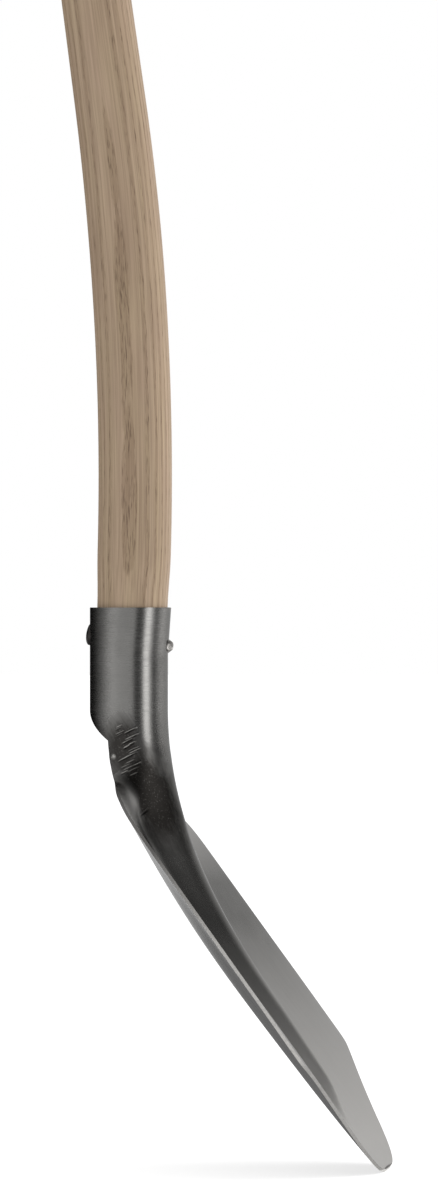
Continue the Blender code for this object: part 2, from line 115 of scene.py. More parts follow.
SHEET_COLUMNS = 80
RIDGE_COLUMNS = 44
RIDGE_COLUMNS_SPAN = 1.7
SHOULDER_FAN = 0.2
POINT_FAN = 0.06
SOCKET_ROWS = 10
OPENING_ROWS = 24
NECK_ROWS = 12
OUTLINE_FINENESS = 4
BASE_AVERAGING = 8
SOFTENING_ROWS = 8
SOFTENING_SPREAD = 3
FRONT_LINE_STEPS = 48
BEND_STEPS = 240
RIDGE_STEPS = 120

BLADE_UP = Vector((-sin(BLADE_LEAN), 0, cos(BLADE_LEAN)))
BLADE_FRONT = Vector((cos(BLADE_LEAN), 0, sin(BLADE_LEAN)))
RIMS_FOOT = Vector((BLADE_LENGTH * sin(BLADE_LEAN), 0, (POINT_DEPTH + SHEET / 2) * sin(BLADE_LEAN)))
MOUTH_HEIGHT = RIMS_FOOT.z + BLADE_LENGTH * cos(BLADE_LEAN) + RIMS_BELOW_MOUTH

Station = namedtuple("Station", "place lean base")
Row = namedtuple("Row", "station wrap flare opened edge")
Knot = namedtuple("Knot", "place turn reach_back reach_on steps")


def ease(share):
    """0 to 1 along a cosine, level at both ends."""
    return 0.5 - 0.5 * cos(pi * min(max(share, 0), 1))


def on_blade(up, across, out):
    """The point that far up the blade, across it, and out from the plane of its rims towards the front."""
    return RIMS_FOOT + BLADE_UP * up + ACROSS * across + BLADE_FRONT * out


def square_to(lean):
    """The direction square to a line that leans back by that angle, towards the front."""
    return Vector((cos(lean), 0, sin(lean)))


def dish_depth(up):
    """Depth of the dish's middle under the rims: none at the neck, most half way, less at the point."""
    if up < DISH_DEEPEST:
        share = sin(pi / 2 * max(up, 0) / DISH_DEEPEST)
        return POINT_DEPTH + (DISH_DEPTH - POINT_DEPTH) * share**DISH_ROUNDNESS_ALONG
    above = (up - DISH_DEEPEST) / (BLADE_LENGTH + DISH_ABOVE_BLADE - DISH_DEEPEST)
    return DISH_DEPTH * max(cos(pi / 2 * min(above, 1)), 0) ** DISH_ROUNDNESS_ALONG


def ridge_fade(up):
    """0 while the ridge runs straight, rising to 1 where it has sunk into the dish near the point."""
    return ease((RIDGE_FADE_TOP - up) / RIDGE_FADE_LENGTH)


def dish(up, across):
    """Height of the dished sheet over the plane of the rims, without the ridge."""
    share = min(abs(across) / (WIDTH_AT_CORNERS / 2), 1)
    fullness = DISH_FULLNESS_AT_POINT
    fullness += (DISH_FULLNESS_ABOVE - DISH_FULLNESS_AT_POINT) * ease(up / CORNER_HEIGHT - 1)
    from_neck = hypot(max(abs(across) - NECK_HALF_WIDTH, 0), NECK.base - up)
    sink = SHOULDER_SINK * (1 - ease(from_neck / SHOULDER_SINK_REACH))
    return -dish_depth(up) * (1 - share * share) ** fullness - sink


def front_line():
    """Stations down the front line: its place, its lean, and where its row would meet the dish's middle."""
    mouth = Vector((SOCKET_RADIUS, 0, MOUTH_HEIGHT))
    bend_top = mouth - Vector((0, 0, BEND_BELOW_MOUTH))
    foot_up = BLADE_LENGTH - BEND_ALONG_BLADE
    bend_foot = on_blade(foot_up, 0, -RIDGE_DEPTH)
    leaving = bend_top - Vector((0, 0, BEND_TOP_REACH))
    arriving = bend_foot + BLADE_UP * BEND_FOOT_REACH
    line = [mouth.lerp(bend_top, step / FRONT_LINE_STEPS) for step in range(FRONT_LINE_STEPS)]
    line += interpolate_bezier(bend_top, leaving, arriving, bend_foot, BEND_STEPS + 1)
    for step in range(RIDGE_STEPS - 1, -1, -1):
        up = foot_up * step / RIDGE_STEPS
        ridge = (POINT_DEPTH - RIDGE_DEPTH) * step / RIDGE_STEPS - POINT_DEPTH
        line.append(on_blade(up, 0, ridge - (dish_depth(up) + ridge) * ridge_fade(up)))
    stations = []
    for before, place, after in zip(line[:1] + line, line, line[1:] + line[-1:]):
        lean = asin((after.x - before.x) / (after - before).length)
        up, out = (place - RIMS_FOOT).dot(BLADE_UP), (place - RIMS_FOOT).dot(BLADE_FRONT)
        turn = tan(BLADE_LEAN - lean)
        stations.append(Station(place, lean, up + (out + dish_depth(up + out * turn)) * turn))
    stations[-1] = stations[-1]._replace(base=0)
    return stations


STATIONS = front_line()


def station_at(measure, wanted):
    """The station where measure, which falls down the line, reaches wanted."""
    for above, below in zip(STATIONS, STATIONS[1:]):
        if measure(below) <= wanted:
            share = min(max((measure(above) - wanted) / (measure(above) - measure(below)), 0), 1)
            return Station(
                above.place.lerp(below.place, share),
                above.lean + (below.lean - above.lean) * share,
                above.base + (below.base - above.base) * share,
            )
    return STATIONS[-1]


def station_below_mouth(depth):
    return station_at(lambda station: station.place.z, MOUTH_HEIGHT - depth)


NECK = station_below_mouth(SEAM_LENGTH + OPENING_LENGTH + NECK_LENGTH)
NECK_OUT = (NECK.place - RIMS_FOOT).dot(BLADE_FRONT) + NECK_SINK
NECK_WRAP = acos(1 - NECK_OUT / (SOCKET_RADIUS * cos(BLADE_LEAN - NECK.lean)))
NECK_HALF_WIDTH = SOCKET_RADIUS * sin(NECK_WRAP)
SEAM_WRAP = pi - asin(SEAM_WIDTH / 2 / SOCKET_RADIUS)


def socket_rows():
    """Rows of the rolled tube from its mouth down to the neck, where the seam has opened."""
    rows = []
    straight = SEAM_LENGTH - MOUTH_FLARE_LENGTH
    depths = [MOUTH_FLARE_LENGTH * step / SOCKET_ROWS for step in range(SOCKET_ROWS)]
    depths += [MOUTH_FLARE_LENGTH + straight * step / SOCKET_ROWS for step in range(SOCKET_ROWS + 1)]
    for depth in depths:
        flare = MOUTH_FLARE * max(1 - depth / MOUTH_FLARE_LENGTH, 0)
        rows.append(Row(station_below_mouth(depth), SEAM_WRAP, flare, 0, None))
    for step in range(1, OPENING_ROWS + 1):
        share = step / OPENING_ROWS
        wrap = SEAM_WRAP + (NECK_WRAP - SEAM_WRAP) * share
        rows.append(Row(station_below_mouth(SEAM_LENGTH + OPENING_LENGTH * share), wrap, 0, 0, None))
    for step in range(1, NECK_ROWS + 1):
        depth = SEAM_LENGTH + OPENING_LENGTH + NECK_LENGTH * step / NECK_ROWS
        rows.append(Row(station_below_mouth(depth), NECK_WRAP, 0, 0, None))
    return rows


def heading(turn):
    """The direction across and up the blade that is turned that far down from straight outwards."""
    return Vector((cos(turn), -sin(turn)))


def blade_outline():
    """Half the blade's outline from the neck's edge to near the point, as points (across, up)."""
    half_top, half_foot = WIDTH_AT_SHOULDERS / 2, WIDTH_AT_CORNERS / 2
    side_top = BLADE_LENGTH - SIDE_TOP_DROP
    side = atan2(side_top - CORNER_HEIGHT, half_foot - half_top)
    from_corner, to_nose = pi - POINT_SLOPE_AT_CORNER, pi - POINT_SLOPE_AT_NOSE
    corner = Vector((half_foot, CORNER_HEIGHT))
    above_corner = corner - heading(side) * CORNER_ROUNDING
    below_corner = corner + heading(from_corner) * CORNER_ROUNDING
    fillet_foot = Vector((NECK_HALF_WIDTH + NECK_FILLET_WIDTH, NECK.base - NECK_FILLET_DROP))
    knots = [
        Knot(Vector((NECK_HALF_WIDTH, NECK.base)), pi / 2, 0, NECK_FILLET_REACH, 4),
        Knot(fillet_foot, SHOULDER_SLOPE, NECK_FILLET_REACH, SHOULDER_REACH, 9),
        Knot(Vector((half_top, side_top)), side, SHOULDER_ROUNDING, SIDE_REACH, 9),
        Knot(above_corner, side, SIDE_REACH, CORNER_REACH, 2),
        Knot(below_corner, from_corner, CORNER_REACH, POINT_EDGE_REACH, 5),
        Knot(Vector((NOSE_HALF_WIDTH, NOSE_HEIGHT)), to_nose, POINT_EDGE_REACH, NOSE_SIDE_REACH, 6),
        Knot(Vector((0, 0)), pi, NOSE_FRONT_REACH, 0, 0),
    ]
    outline = []
    for here, after in zip(knots, knots[1:]):
        leaving = here.place + heading(here.turn) * here.reach_on
        arriving = after.place - heading(after.turn) * after.reach_back
        stretch = [point.to_3d() for point in (here.place, leaving, arriving, after.place)]
        outline += interpolate_bezier(*stretch, here.steps * OUTLINE_FINENESS + 1)[:-1]
    return outline[: 1 - OUTLINE_FINENESS]


def averaged(values, reach):
    """Each value averaged with its neighbours up to that far away, and with fewer near the ends."""
    smooth = []
    for place in range(len(values)):
        near = min(reach, place, len(values) - 1 - place)
        smooth.append(sum(values[place - near : place + near + 1]) / (2 * near + 1))
    return smooth


def blade_rows():
    """Rows of the blade, each ending on the outline. They fan out to the shoulders and to the point."""
    outline = blade_outline()
    bases = [NECK.base]
    for before, edge, after in zip(outline, outline[1:], outline[2:]):
        run = (after - before).normalized()
        bases.append(edge.y - (SHOULDER_FAN if run.x > 0 else POINT_FAN) * edge.x * run.x)
    rows = []
    for edge, base in list(zip(outline, averaged(bases + [0], BASE_AVERAGING)))[1:]:
        opened = ease((edge.x - NECK_HALF_WIDTH) / OPENING_OUT_WIDTH) if edge.y > CORNER_HEIGHT else 1
        station = station_at(lambda station: station.base, base)
        rows.append(Row(station, NECK_WRAP, 0, opened, (edge.x, edge.y)))
    return rows


def around_socket(row, share):
    """A point of the rolled part of a row, from the front line at 0 to the edge at 1."""
    turn = row.wrap * share
    drawn = row.flare * (1 - min(cos(turn), 0) ** 2)
    out = SOCKET_RADIUS * (cos(turn) - 1) + drawn
    return row.station.place + square_to(row.station.lean) * out + ACROSS * (SOCKET_RADIUS * sin(turn))


def across_blade(row, share):
    """A point of the spread part of a row: the dish, with the ridge standing on its middle."""
    base = row.station.base
    edge_across, edge_up = row.edge
    top = min(max((base - RIDGE_FADE_TOP) / (NECK.base - RIDGE_FADE_TOP), 0), 1)
    half = RIDGE_HALF_WIDTH_AT_FADE + (RIDGE_HALF_WIDTH_AT_NECK - RIDGE_HALF_WIDTH_AT_FADE) * top
    half += RIDGE_FADE_SPREAD * ridge_fade(base)
    ridge_share = RIDGE_COLUMNS / SHEET_COLUMNS
    zone = min(RIDGE_COLUMNS_SPAN * half, ridge_share * edge_across)
    zone += (ridge_share * edge_across - zone) * (1 - top) ** 2
    if share < ridge_share:
        across = zone * share / ridge_share
    else:
        across = zone + (edge_across - zone) * (share - ridge_share) / (1 - ridge_share)
    up = base + (edge_up - base) * (across / edge_across) ** 2
    squareness = RIDGE_SQUARENESS_AT_FADE + (RIDGE_SQUARENESS_AT_NECK - RIDGE_SQUARENESS_AT_FADE) * top
    ridge = exp(-((across / half) ** squareness))
    middle = on_blade(base, 0, dish(base, 0))
    return on_blade(up, across, dish(up, across)) + (row.station.place - middle) * ridge


def sheet_point(row, share):
    if row.opened == 0:
        return around_socket(row, share)
    if row.opened == 1:
        return across_blade(row, share)
    return around_socket(row, share).lerp(across_blade(row, share), row.opened)


def softened(points, rows):
    """A column's points, averaged along it near the neck, where the tube is drawn smoothly into the blade."""
    smooth = []
    for place, row in enumerate(rows):
        from_neck = NECK.base - row.station.base
        share = from_neck / (SOFTENED_BELOW_NECK if from_neck > 0 else SOFTENED_ABOVE_NECK)
        reach = SOFTENING_ROWS * max(1 - share * share, 0)
        near = min(round(SOFTENING_SPREAD * reach), place, len(points) - 1 - place)
        weights = [exp(-((step / reach) ** 2) / 2) if near else 1 for step in range(-near, near + 1)]
        total = sum((points[place - near + step] * weight for step, weight in enumerate(weights)), Vector())
        smooth.append(total / sum(weights))
    return smooth


def new_object(name, bm):
    mesh = bpy.data.meshes.new(name)
    bm.to_mesh(mesh)
    bm.free()
    mesh.shade_smooth()
    obj = bpy.data.objects.new(name, mesh)
    bpy.context.scene.collection.objects.link(obj)
    return obj


# Half the sheet is a flat grid, moved onto the rows point by point, then mirrored and given its thickness.
rows = socket_rows() + blade_rows()
columns = []
for step in range(SHEET_COLUMNS + 1):
    columns.append(softened([sheet_point(row, step / SHEET_COLUMNS) for row in rows], rows))
bm = bmesh.new()
bmesh.ops.create_grid(bm, x_segments=SHEET_COLUMNS, y_segments=len(rows) - 1, size=0.5)
from_edge = bm.verts.layers.float.new("from_edge")
for vert in bm.verts:
    share, along = vert.co.x + 0.5, vert.co.y + 0.5
    place = round(along * (len(rows) - 1))
    vert.co = columns[round(share * SHEET_COLUMNS)][place]
    vert[from_edge] = (columns[-1][place] - vert.co).length
    if share < 0.5 / SHEET_COLUMNS:
        vert.co.y = 0
half = bm.faces[:] + bm.edges[:] + bm.verts[:]
bmesh.ops.mirror(bm, geom=half, axis="Y", merge_dist=MERGED_WITHIN)
bmesh.ops.recalc_face_normals(bm, faces=bm.faces)
blade = new_object("pressed_blade", bm)
solidify = blade.modifiers.new("sheet", "SOLIDIFY")
solidify.thickness = SHEET
solidify.offset = 0
solidify.use_even_offset = True
solidify.material_offset_rim = 1


def linear(hex_colour):
    """An sRGB hex colour as linear red, green and blue, with an alpha of 1."""
    parts = [int(hex_colour[place : place + 2], 16) / 255 for place in (1, 3, 5)]
    return [part / 12.92 if part <= 0.04045 else ((part + 0.055) / 1.055) ** 2.4 for part in parts] + [1]


def add_node(tree, kind, inputs=None, **settings):
    """Adds a node. An input's value is a number, a colour or the output that it is linked to."""
    node = tree.nodes.new(kind)
    for name, value in settings.items():
        setattr(node, name, value)
    for name, value in (inputs or {}).items():
        if isinstance(value, bpy.types.NodeSocket):
            tree.links.new(value, node.inputs[name])
        else:
            node.inputs[name].default_value = value
    return node


def new_material(name):
    material = bpy.data.materials.new(name)
    material.use_nodes = True
    return material, material.node_tree, material.node_tree.nodes["Principled BSDF"]


# Carbon steel, pressed hot, cleaned of its scale and oiled: a neutral grey satin with a fine grain that
# frays its highlights, faint lines drawn round the socket and streaks down the blade. The neck is partly dark
# scale, with tiny flakes off it, and partly painted shade, and the back is painted dark along the rims as
# painted shade. The front is painted paler at the shoulders and towards the nose, a painted reflection, and
# is rougher there. The real grain of about 0.1 mm is too fine to show, so it is drawn 0.8 mm.
GRAIN_SIZE = 0.8 * MM
CLOUD_SIZE = 15 * MM
FLAKE_SIZE = 0.9 * MM
DRAWN_LINE_SIZE = (26 * MM, 26 * MM, 0.9 * MM)
STREAK_SIZE = (1.6 * MM, 1.6 * MM, 70 * MM)
STEEL_RELIEF = 0.01 * MM
BLADE_RELIEF_SHARE = 0.35
SOCKET_LINES_FROM = 235 * MM
SOCKET_LINES_FULLY = 262 * MM
# Where the front is painted paler, a painted reflection, towards the nose and at the shoulders
NOSE_REFLECTION_FROM = 140 * MM
NOSE_REFLECTION_FULLY = 15 * MM
SHOULDER_REFLECTION_FROM = 160 * MM
SHOULDER_REFLECTION_FULLY = 200 * MM
SHOULDER_REFLECTION_SHARE = 0.6
BESIDE_NECK_FROM = 26 * MM
BESIDE_NECK_FULLY = 33 * MM
TUBE_ENDS = 30 * MM
TUBE_FULLY = 25 * MM
# Painted shade along the rims on the back
RIM_SHADE_ENDS = 10 * MM
RIM_SHADE_FULLY = 2 * MM
RIM_SHADE_MOST = 0.6

# One patch of dark scale and painted shade at the neck's side and one down the bend. Across the blade neither
# has an end.
ScaleAndShadePatch = namedtuple("ScaleAndShadePatch", "middle lean size fraying clear_at full_at most")
SCALE_AND_SHADE_PATCHES = [
    ScaleAndShadePatch((-1 * MM, 0, 240.5 * MM), 0, (8.5 * MM, 10, 14.5 * MM), 0.8, 2.2, 1.35, 0.95),
    ScaleAndShadePatch((15 * MM, 0, 214 * MM), radians(24), (12.5 * MM, 10, 31 * MM), 0.6, 1.9, 1.15, 1),
]

steel, tree, shader = new_material("pressed_carbon_steel")
texture = add_node(tree, "ShaderNodeTexCoord")
coords = texture.outputs["Object"]
grain = add_node(tree, "ShaderNodeTexNoise", {"Vector": coords, "Scale": 1 / GRAIN_SIZE, "Detail": 1})
flakes = add_node(tree, "ShaderNodeTexNoise", {"Vector": coords, "Scale": 1 / FLAKE_SIZE, "Detail": 4})
cloud = {"Vector": coords, "Scale": 1 / CLOUD_SIZE, "Detail": 5, "Roughness": 0.6}
cloud = add_node(tree, "ShaderNodeTexNoise", cloud)
round_socket = {"Vector": coords, "Scale": DRAWN_LINE_SIZE}
round_socket = add_node(tree, "ShaderNodeMapping", round_socket, vector_type="TEXTURE")
drawn = add_node(tree, "ShaderNodeTexNoise", {"Vector": round_socket.outputs[0], "Scale": 1, "Detail": 2})
down_blade = {"Vector": coords, "Rotation": (0, -BLADE_LEAN, 0), "Scale": STREAK_SIZE}
down_blade = add_node(tree, "ShaderNodeMapping", down_blade, vector_type="TEXTURE")
streaks = add_node(tree, "ShaderNodeTexNoise", {"Vector": down_blade.outputs[0], "Scale": 1, "Detail": 3})

place = add_node(tree, "ShaderNodeSeparateXYZ", {"Vector": coords})
up = place.outputs["Z"]
sideways = add_node(tree, "ShaderNodeMath", {0: place.outputs["Y"]}, operation="ABSOLUTE").outputs[0]
facing = {0: texture.outputs["Normal"], 1: BLADE_FRONT}
facing = add_node(tree, "ShaderNodeVectorMath", facing, operation="DOT_PRODUCT")
in_front = add_node(tree, "ShaderNodeMath", {0: facing.outputs["Value"], 1: 0}, operation="GREATER_THAN")
behind = add_node(tree, "ShaderNodeMath", {0: 1, 1: in_front.outputs[0]}, operation="SUBTRACT")
on_socket = {"Value": up, "From Min": SOCKET_LINES_FROM, "From Max": SOCKET_LINES_FULLY}
on_socket = add_node(tree, "ShaderNodeMapRange", on_socket, interpolation_type="SMOOTHSTEP")
lines = {0: on_socket.outputs[0], 2: streaks.outputs[0], 3: drawn.outputs[0]}
lines = add_node(tree, "ShaderNodeMix", lines, data_type="FLOAT")

# Painted reflection: the front is painted paler towards the nose and beside the neck at the shoulders, and is
# rougher there.
nose_reflection = {"Value": up, "From Min": NOSE_REFLECTION_FROM, "From Max": NOSE_REFLECTION_FULLY, "To Max": in_front.outputs[0]}
nose_reflection = add_node(tree, "ShaderNodeMapRange", nose_reflection)
beside_neck = {"Value": sideways, "From Min": BESIDE_NECK_FROM, "From Max": BESIDE_NECK_FULLY}
beside_neck = add_node(tree, "ShaderNodeMapRange", beside_neck)
shoulder_reflection = {"Value": up, "From Min": SHOULDER_REFLECTION_FROM, "From Max": SHOULDER_REFLECTION_FULLY, "To Max": beside_neck.outputs[0]}
shoulder_reflection = add_node(tree, "ShaderNodeMapRange", shoulder_reflection)
shoulder_reflection = {0: shoulder_reflection.outputs[0], 1: in_front.outputs[0]}
shoulder_reflection = add_node(tree, "ShaderNodeMath", shoulder_reflection, operation="MULTIPLY")
painted_reflection = {0: shoulder_reflection.outputs[0], 1: SHOULDER_REFLECTION_SHARE, 2: nose_reflection.outputs[0]}
painted_reflection = add_node(tree, "ShaderNodeMath", painted_reflection, operation="MULTIPLY_ADD")

ragged = {0: streaks.outputs[0], 1: 0.8, 2: cloud.outputs[0]}
ragged = add_node(tree, "ShaderNodeMath", ragged, operation="MULTIPLY_ADD")
# Dark at the neck and down the bend: partly scale and partly painted shade.
patches = []
for patch in SCALE_AND_SHADE_PATCHES:
    around = {"Location": patch.middle, "Rotation": (0, -patch.lean, 0), "Scale": patch.size}
    around = add_node(tree, "ShaderNodeMapping", {"Vector": coords} | around, vector_type="TEXTURE")
    away = add_node(tree, "ShaderNodeVectorMath", {0: around.outputs[0]}, operation="LENGTH")
    frayed = {0: ragged.outputs[0], 1: patch.fraying, 2: away.outputs["Value"]}
    frayed = add_node(tree, "ShaderNodeMath", frayed, operation="MULTIPLY_ADD")
    ends = {"From Min": patch.clear_at, "From Max": patch.full_at, "To Max": patch.most}
    patches.append(add_node(tree, "ShaderNodeMapRange", {"Value": frayed.outputs[0]} | ends))
scale_and_painted_shade = {0: patches[0].outputs[0], 1: patches[1].outputs[0]}
scale_and_painted_shade = add_node(tree, "ShaderNodeMath", scale_and_painted_shade, operation="MAXIMUM")
on_tube = {"Value": sideways, "From Min": TUBE_ENDS, "From Max": TUBE_FULLY}
on_tube = add_node(tree, "ShaderNodeMapRange", on_tube)
scale_and_painted_shade = {0: scale_and_painted_shade.outputs[0], 1: on_tube.outputs[0]}
scale_and_painted_shade = add_node(tree, "ShaderNodeMath", scale_and_painted_shade, operation="MULTIPLY")
flaked = {"Value": flakes.outputs[0], "From Min": 0.58, "From Max": 0.8, "To Max": 0.45}
flaked = add_node(tree, "ShaderNodeMapRange", flaked)
flaked = {0: flaked.outputs[0], 1: scale_and_painted_shade.outputs[0]}
flaked = add_node(tree, "ShaderNodeMath", flaked, operation="MULTIPLY")
# Where the folds, the nick and the dent's brim stand up, the steel is painted pale as a painted highlight. In
# the folds' troughs and the dent it is painted dark as painted shade.
raised = add_node(tree, "ShaderNodeAttribute", attribute_name="raised").outputs["Fac"]
painted_crest_highlight = add_node(tree, "ShaderNodeMapRange", {"Value": raised, "From Min": 0.15, "From Max": 1.3})
trough = {"Value": raised, "From Min": -0.06, "From Max": -0.4, "To Max": 0.75}
trough = add_node(tree, "ShaderNodeMapRange", trough)
# Painted shade: the back is painted dark within a few millimetres of the sheet's edge.
from_edge = add_node(tree, "ShaderNodeAttribute", attribute_name="from_edge").outputs["Fac"]
painted_rim_shade = {"From Min": RIM_SHADE_ENDS, "From Max": RIM_SHADE_FULLY, "To Max": RIM_SHADE_MOST}
painted_rim_shade = add_node(tree, "ShaderNodeMapRange", {"Value": from_edge} | painted_rim_shade)
painted_rim_shade = add_node(tree, "ShaderNodeMath", {0: painted_rim_shade.outputs[0], 1: behind.outputs[0]}, operation="MULTIPLY")

tone = {"Factor": cloud.outputs[0], "A": linear("#6c6b69"), "B": linear("#82817f")}
tone = add_node(tree, "ShaderNodeMix", tone, data_type="RGBA")
for cover, colour in (
    (painted_reflection, "#e6e4e1"),
    (scale_and_painted_shade, "#33312f"),
    (flaked, "#8a8885"),
    (painted_crest_highlight, "#c4c2be"),
    (trough, "#1e1d1c"),
    (painted_rim_shade, "#2e2c2b"),
):
    tone = {"Factor": cover.outputs[0], "A": tone.outputs["Result"], "B": linear(colour)}
    tone = add_node(tree, "ShaderNodeMix", tone, data_type="RGBA")
tree.links.new(tone.outputs["Result"], shader.inputs["Base Color"])
shader.inputs["Metallic"].default_value = 1
shader.inputs["Specular Tint"].default_value = linear("#c6c6c6")
dull = {"Value": lines.outputs[0], "From Min": 0.3, "From Max": 0.7, "To Min": 0.235, "To Max": 0.285}
dull = add_node(tree, "ShaderNodeMapRange", dull)
for cover, roughening in ((scale_and_painted_shade, 0.16), (painted_reflection, 0.26)):
    dull = {0: cover.outputs[0], 1: roughening, 2: dull.outputs[0]}
    dull = add_node(tree, "ShaderNodeMath", dull, operation="MULTIPLY_ADD")
tree.links.new(dull.outputs[0], shader.inputs["Roughness"])
relief = {0: lines.outputs[0], 1: 0.15, 2: grain.outputs[0]}
relief = add_node(tree, "ShaderNodeMath", relief, operation="MULTIPLY_ADD")
strength = add_node(tree, "ShaderNodeMapRange", {"Value": on_socket.outputs[0], "To Min": BLADE_RELIEF_SHARE})
bump = {"Strength": strength.outputs[0], "Height": relief.outputs[0], "Distance": STEEL_RELIEF}
bump = add_node(tree, "ShaderNodeBump", bump)
tree.links.new(bump.outputs[0], shader.inputs["Normal"])

# Where the sheet was sheared its edge is cut clean, so it is bright along the blade. Its colour darkens
# towards the shoulders and stays dark above them. The shear left it grained, which frays the light on it.
SHEAR_SIZE = 1.4 * MM
SHEAR_RELIEF = 0.03 * MM
DARKENED_FROM = 130 * MM
DARKENED_FULLY = 185 * MM
DARKENING_MOST = 0.85

edge_steel, tree, shader = new_material("sheared_steel_edge")
coords = add_node(tree, "ShaderNodeTexCoord").outputs["Object"]
shear = add_node(tree, "ShaderNodeTexNoise", {"Vector": coords, "Scale": 1 / SHEAR_SIZE, "Detail": 3})
up = add_node(tree, "ShaderNodeSeparateXYZ", {"Vector": coords}).outputs["Z"]
darker_above = {"Value": up, "From Min": DARKENED_FROM, "From Max": DARKENED_FULLY, "To Max": DARKENING_MOST}
darker_above = add_node(tree, "ShaderNodeMapRange", darker_above)
tone = {"Factor": shear.outputs[0], "A": linear("#b5b3b0"), "B": linear("#e2e0dc")}
tone = add_node(tree, "ShaderNodeMix", tone, data_type="RGBA")
tone = {"Factor": darker_above.outputs[0], "A": tone.outputs["Result"], "B": linear("#5a5856")}
tone = add_node(tree, "ShaderNodeMix", tone, data_type="RGBA")
tree.links.new(tone.outputs["Result"], shader.inputs["Base Color"])
shader.inputs["Metallic"].default_value = 0.7
shader.inputs["Roughness"].default_value = 0.5
bump = add_node(tree, "ShaderNodeBump", {"Height": shear.outputs[0], "Distance": SHEAR_RELIEF})
tree.links.new(bump.outputs[0], shader.inputs["Normal"])

# The rims that the thickness adds take the second material.
blade.data.materials.append(steel)
blade.data.materials.append(edge_steel)
bpy.context.view_layer.update()
evaluated = blade.evaluated_get(bpy.context.evaluated_depsgraph_get())
thick_sheet = bpy.data.meshes.new_from_object(evaluated)
blade.modifiers.clear()
blade.data = thick_sheet

# The cut edges are rounded a little. The sheet puckered at the neck as it was drawn in, which left on each
# side short folds that rise forwards, a nick on the edge beside them and a dent on the ridge's flank.
ARRIS_ROUNDING = 0.45 * MM
ARRIS_SEGMENTS = 3
FINE_CUTS = 3
FINE_ZONE_LOW = Vector((-7.5, 0, 224)) * MM
FINE_ZONE_HIGH = Vector((10, 0, 255)) * MM
FOLD_SEED = 4
FOLDS = 24
FOLDS_TOP = 253 * MM
FOLD_SPACING = 1.18 * MM
FOLD_SHIFT = 0.22 * MM
FOLD_MIDDLES = (-5 * MM, 3.6 * MM)
FOLD_HALF_LENGTHS = (1.6 * MM, 3.8 * MM)
FOLD_HALF_WIDTH = 0.36 * MM
FOLD_HEIGHT = 0.45 * MM
FOLD_HEIGHT_SHARES = (0.4, 1)
FOLD_SLOPE = 0.5
TROUGH_SHARE = 0.6
TROUGH_PLACE = -2.2
NICK_PLACE = Vector((-6.6, 0, 235.5)) * MM
NICK_REACH = 1.3 * MM
NICK_HEIGHT = 0.8 * MM
DENT_PLACE = Vector((12, 0, 204)) * MM
DENT_REACH = 3.6 * MM
DENT_SLOPE = 0.8
DENT_HALF_LENGTH = 1.7 * MM
DENT_HALF_WIDTH = 0.7 * MM
DENT_DEPTH = 0.35 * MM
DENT_BRIM_SHARE = 0.4
DENT_BRIM_PLACE = 1.5

Fold = namedtuple("Fold", "side middle half_length top")

random = Random(FOLD_SEED)
folds = []
for side in (-1, 1):
    for step in range(FOLDS):
        forwards = random.uniform(*FOLD_MIDDLES) + step * FOLD_SHIFT
        middle = Vector((forwards, 0, FOLDS_TOP - FOLD_SPACING * step))
        half_length = random.uniform(*FOLD_HALF_LENGTHS)
        folds.append(Fold(side, middle, half_length, random.uniform(*FOLD_HEIGHT_SHARES) * FOLD_HEIGHT))


def raised_height(place):
    """How far the folds, the nick and the dent raise the sheet's outside at that place."""
    height = 0
    for fold in folds:
        if fold.side * place.y > 0:
            away = place - fold.middle
            across = (away.z - FOLD_SLOPE * away.x) / FOLD_HALF_WIDTH
            trough = TROUGH_SHARE * exp(-((across - TROUGH_PLACE) ** 2))
            height += fold.top * exp(-((away.x / fold.half_length) ** 4)) * (exp(-across * across) - trough)
    nick = hypot(place.x - NICK_PLACE.x, place.z - NICK_PLACE.z) / NICK_REACH
    height += NICK_HEIGHT * exp(-nick * nick)
    away = place - DENT_PLACE
    along, across = away.x / DENT_HALF_LENGTH, (away.z - DENT_SLOPE * away.x) / DENT_HALF_WIDTH
    brim = DENT_BRIM_SHARE * exp(-((across - DENT_BRIM_PLACE) ** 2))
    return height + DENT_DEPTH * exp(-along * along) * (brim - exp(-across * across))


def in_fine_zone(face):
    """Whether a face lies on the outside of the sheet where the folds or the dent are."""
    place = face.calc_center_median()
    if face.normal.y * place.y < 0 or face.material_index:
        return False
    folded = FINE_ZONE_LOW.x < place.x < FINE_ZONE_HIGH.x and FINE_ZONE_LOW.z < place.z < FINE_ZONE_HIGH.z
    return folded or hypot(place.x - DENT_PLACE.x, place.z - DENT_PLACE.z) < DENT_REACH


bm = bmesh.new()
bm.from_mesh(blade.data)
rims = [edge for edge in bm.edges if sum(face.material_index for face in edge.link_faces) == 1]
rounded = bmesh.ops.bevel(
    bm,
    geom=rims,
    offset=ARRIS_ROUNDING,
    affect="EDGES",
    segments=ARRIS_SEGMENTS,
    profile=0.5,
    material=-1,
    clamp_overlap=True,
)
arrises = set(rounded["faces"])
for edge in bm.edges:
    edge.smooth = sum(face in arrises for face in edge.link_faces) != 1
bm.normal_update()
fine = [face for face in bm.faces if face not in arrises and in_fine_zone(face)]
edges = list({edge for face in fine for edge in face.edges})
bmesh.ops.subdivide_edges(bm, edges=edges, cuts=FINE_CUTS, use_grid_fill=True)
bm.normal_update()
raised = bm.verts.layers.float.new("raised")
for vert in bm.verts:
    if vert.normal.y * vert.co.y > 0 and vert.co.z > DENT_PLACE.z - DENT_REACH:
        height = raised_height(vert.co)
        vert[raised] = height / FOLD_HEIGHT
        vert.co += vert.normal * height
bm.to_mesh(blade.data)
bm.free()
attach(blade, "root")
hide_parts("blade")

# The handle is a shaft of ash, turned round, drawn in at its foot to fit the socket, then steamed and bent.
# It is sanded and left bare, so it shows its growth rings.

